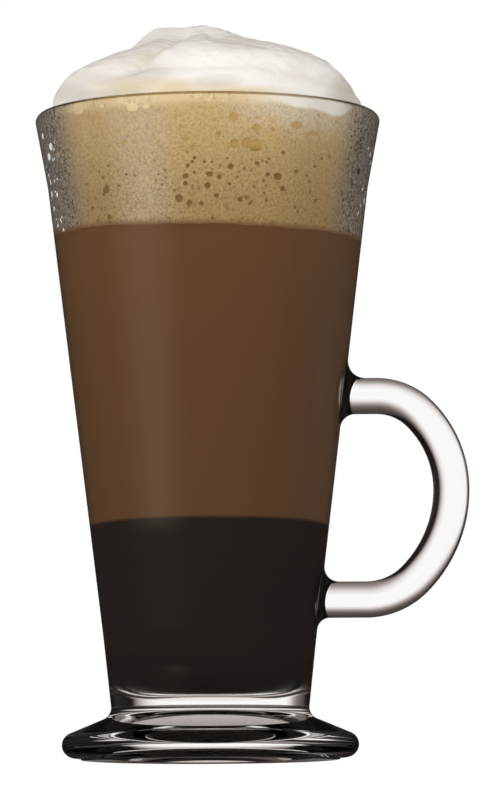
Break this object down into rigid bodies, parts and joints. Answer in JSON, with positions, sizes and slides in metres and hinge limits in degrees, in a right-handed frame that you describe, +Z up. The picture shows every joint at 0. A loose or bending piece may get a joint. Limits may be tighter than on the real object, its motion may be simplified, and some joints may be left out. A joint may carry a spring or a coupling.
{
  "type": "footed glass mug with a loop handle",
  "caption": "Tall flared glass mug on a low round foot with a loop handle, filled with black coffee, milky coffee, foam and a cream crown.",
  "frame": {"origin": "on the mug's axis, in the plane that the foot's ring stands on", "axes": "+Z up along the mug's axis; +X towards the handle"},
  "size_m": [0.1004, 0.0802, 0.1713],
  "materials": {
    "bowl_glass": "polished",
    "foot_glass": "polished",
    "handle_glass": "polished",
    "black_coffee": "gloss",
    "milky_coffee": "gloss",
    "foam": "satin",
    "cream": "matte"
  },
  "bodies": {
    "root": {"bowl": "bowl_glass", "foot": "foot_glass", "handle": "handle_glass", "black_coffee": "black_coffee", "milky_coffee": "milky_coffee", "foam_head": "foam", "cream_crown": "cream"}
  },
  "joints": []
}
